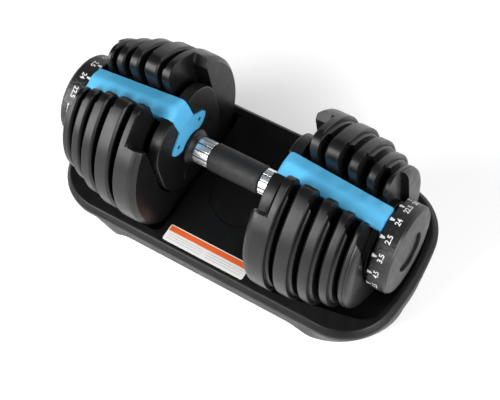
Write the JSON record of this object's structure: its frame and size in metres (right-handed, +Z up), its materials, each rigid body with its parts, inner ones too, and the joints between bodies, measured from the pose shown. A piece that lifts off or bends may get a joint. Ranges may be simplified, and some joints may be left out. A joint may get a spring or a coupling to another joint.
{
  "type": "adjustable dumbbell",
  "caption": "Dumbbell with ring-shaped weight plates, a number dial at each end of the handle and a black storage tray; turning the dials picks the plates that lift.",
  "frame": {"origin": "on the floor under the middle of the tray", "axes": "+X along the handle, +Z up, +Y to the rear; the sticker is on the front (-Y) edge"},
  "size_m": [0.428, 0.2, 0.216],
  "materials": {
    "tray_black": "matt, finely textured",
    "plate_black": "satin black coating over steel",
    "dial_black": "satin, white numbers on the rim",
    "dial_grey": "smooth satin",
    "grip_black": "soft, finely textured",
    "bracket_blue": "smooth semi-gloss",
    "ear_black": "satin",
    "ferrule_chrome": "polished",
    "steel": "plain turned",
    "dark_steel": "blackened",
    "pad_rubber": "matt",
    "label_white": "smooth, blank"
  },
  "bodies": {
    "tray": {"tray": "tray_black", "label_sticker": "label_white", "foot_pad_front_right": "pad_rubber", "foot_pad_front_left": "pad_rubber", "foot_pad_rear_right": "pad_rubber", "foot_pad_rear_left": "pad_rubber"},
    "handle": {"grip": "grip_black", "handle_tube": "steel", "centre_shaft": "steel", "ferrule_right": "ferrule_chrome", "ferrule_left": "ferrule_chrome", "collar_right": "ear_black", "collar_left": "ear_black", "bracket_right": "bracket_blue", "bracket_left": "bracket_blue", "lower_ears_right": "ear_black", "lower_ears_left": "ear_black", "end_housing_right": "ear_black", "end_housing_left": "ear_black", "end_nut_right": "steel", "end_nut_left": "steel", "ear_screw_right_1": "dark_steel", "ear_screw_right_2": "dark_steel", "ear_screw_right_3": "dark_steel", "ear_screw_right_4": "dark_steel", "ear_screw_left_1": "dark_steel", "ear_screw_left_2": "dark_steel", "ear_screw_left_3": "dark_steel", "ear_screw_left_4": "dark_steel"},
    "dial_right": {"dial_right": "dial_black", "dial_cap_right": "dial_grey", "hub_sleeve_right": "dark_steel", "selector_disc_right_1": "dark_steel", "selector_disc_right_2": "dark_steel", "selector_disc_right_3": "dark_steel", "selector_disc_right_4": "dark_steel", "selector_disc_right_5": "dark_steel"},
    "plunger_right": {"detent_plunger_right": "steel"},
    "weight_right_1": {"plate_right_1": "plate_black"},
    "weight_right_2": {"plate_right_2": "plate_black"},
    "weight_right_3": {"plate_right_3": "plate_black"},
    "weight_right_4": {"plate_right_4": "plate_black"},
    "weight_right_5": {"plate_right_5": "plate_black"},
    "dial_left": {"dial_left": "dial_black", "dial_cap_left": "dial_grey", "hub_sleeve_left": "dark_steel", "selector_disc_left_1": "dark_steel", "selector_disc_left_2": "dark_steel", "selector_disc_left_3": "dark_steel", "selector_disc_left_4": "dark_steel", "selector_disc_left_5": "dark_steel"},
    "plunger_left": {"detent_plunger_left": "steel"},
    "weight_left_1": {"plate_left_1": "plate_black"},
    "weight_left_2": {"plate_left_2": "plate_black"},
    "weight_left_3": {"plate_left_3": "plate_black"},
    "weight_left_4": {"plate_left_4": "plate_black"},
    "weight_left_5": {"plate_left_5": "plate_black"}
  },
  "joints": [
    {"name": "handle_lift", "type": "slide", "parent": "tray", "child": "handle", "axis": [0, 0, 1], "range_m": [0, 0.2]},
    {"name": "dial_right_turn", "type": "hinge", "parent": "handle", "child": "dial_right", "pos_m": [0.19, 0, 0.122], "axis": [1, 0, 0], "continuous": true},
    {"name": "plunger_right_press", "type": "slide", "parent": "handle", "child": "plunger_right", "axis": [-1, 0, 0], "range_m": [0, 0.001], "stiffness_N_per_m": 400},
    {"name": "weight_right_1_lift", "type": "slide", "parent": "tray", "child": "weight_right_1", "axis": [0, 0, 1], "range_m": [0, 0.2]},
    {"name": "weight_right_2_lift", "type": "slide", "parent": "tray", "child": "weight_right_2", "axis": [0, 0, 1], "range_m": [0, 0.2]},
    {"name": "weight_right_3_lift", "type": "slide", "parent": "tray", "child": "weight_right_3", "axis": [0, 0, 1], "range_m": [0, 0.2]},
    {"name": "weight_right_4_lift", "type": "slide", "parent": "tray", "child": "weight_right_4", "axis": [0, 0, 1], "range_m": [0, 0.2]},
    {"name": "weight_right_5_lift", "type": "slide", "parent": "tray", "child": "weight_right_5", "axis": [0, 0, 1], "range_m": [0, 0.2]},
    {"name": "dial_left_turn", "type": "hinge", "parent": "handle", "child": "dial_left", "pos_m": [-0.19, 0, 0.122], "axis": [1, 0, 0], "continuous": true},
    {"name": "plunger_left_press", "type": "slide", "parent": "handle", "child": "plunger_left", "axis": [1, 0, 0], "range_m": [0, 0.001], "stiffness_N_per_m": 400},
    {"name": "weight_left_1_lift", "type": "slide", "parent": "tray", "child": "weight_left_1", "axis": [0, 0, 1], "range_m": [0, 0.2]},
    {"name": "weight_left_2_lift", "type": "slide", "parent": "tray", "child": "weight_left_2", "axis": [0, 0, 1], "range_m": [0, 0.2]},
    {"name": "weight_left_3_lift", "type": "slide", "parent": "tray", "child": "weight_left_3", "axis": [0, 0, 1], "range_m": [0, 0.2]},
    {"name": "weight_left_4_lift", "type": "slide", "parent": "tray", "child": "weight_left_4", "axis": [0, 0, 1], "range_m": [0, 0.2]},
    {"name": "weight_left_5_lift", "type": "slide", "parent": "tray", "child": "weight_left_5", "axis": [0, 0, 1], "range_m": [0, 0.2]}
  ],
  "couplings": [
    {"joint": "weight_right_1_lift", "follows": "handle_lift", "ratio": 1},
    {"joint": "weight_right_2_lift", "follows": "handle_lift", "ratio": 1},
    {"joint": "weight_right_3_lift", "follows": "handle_lift", "ratio": 1},
    {"joint": "weight_right_4_lift", "follows": "handle_lift", "ratio": 1},
    {"joint": "weight_right_5_lift", "follows": "handle_lift", "ratio": 1},
    {"joint": "weight_left_1_lift", "follows": "handle_lift", "ratio": 1},
    {"joint": "weight_left_2_lift", "follows": "handle_lift", "ratio": 1},
    {"joint": "weight_left_3_lift", "follows": "handle_lift", "ratio": 1},
    {"joint": "weight_left_4_lift", "follows": "handle_lift", "ratio": 1},
    {"joint": "weight_left_5_lift", "follows": "handle_lift", "ratio": 1}
  ]
}
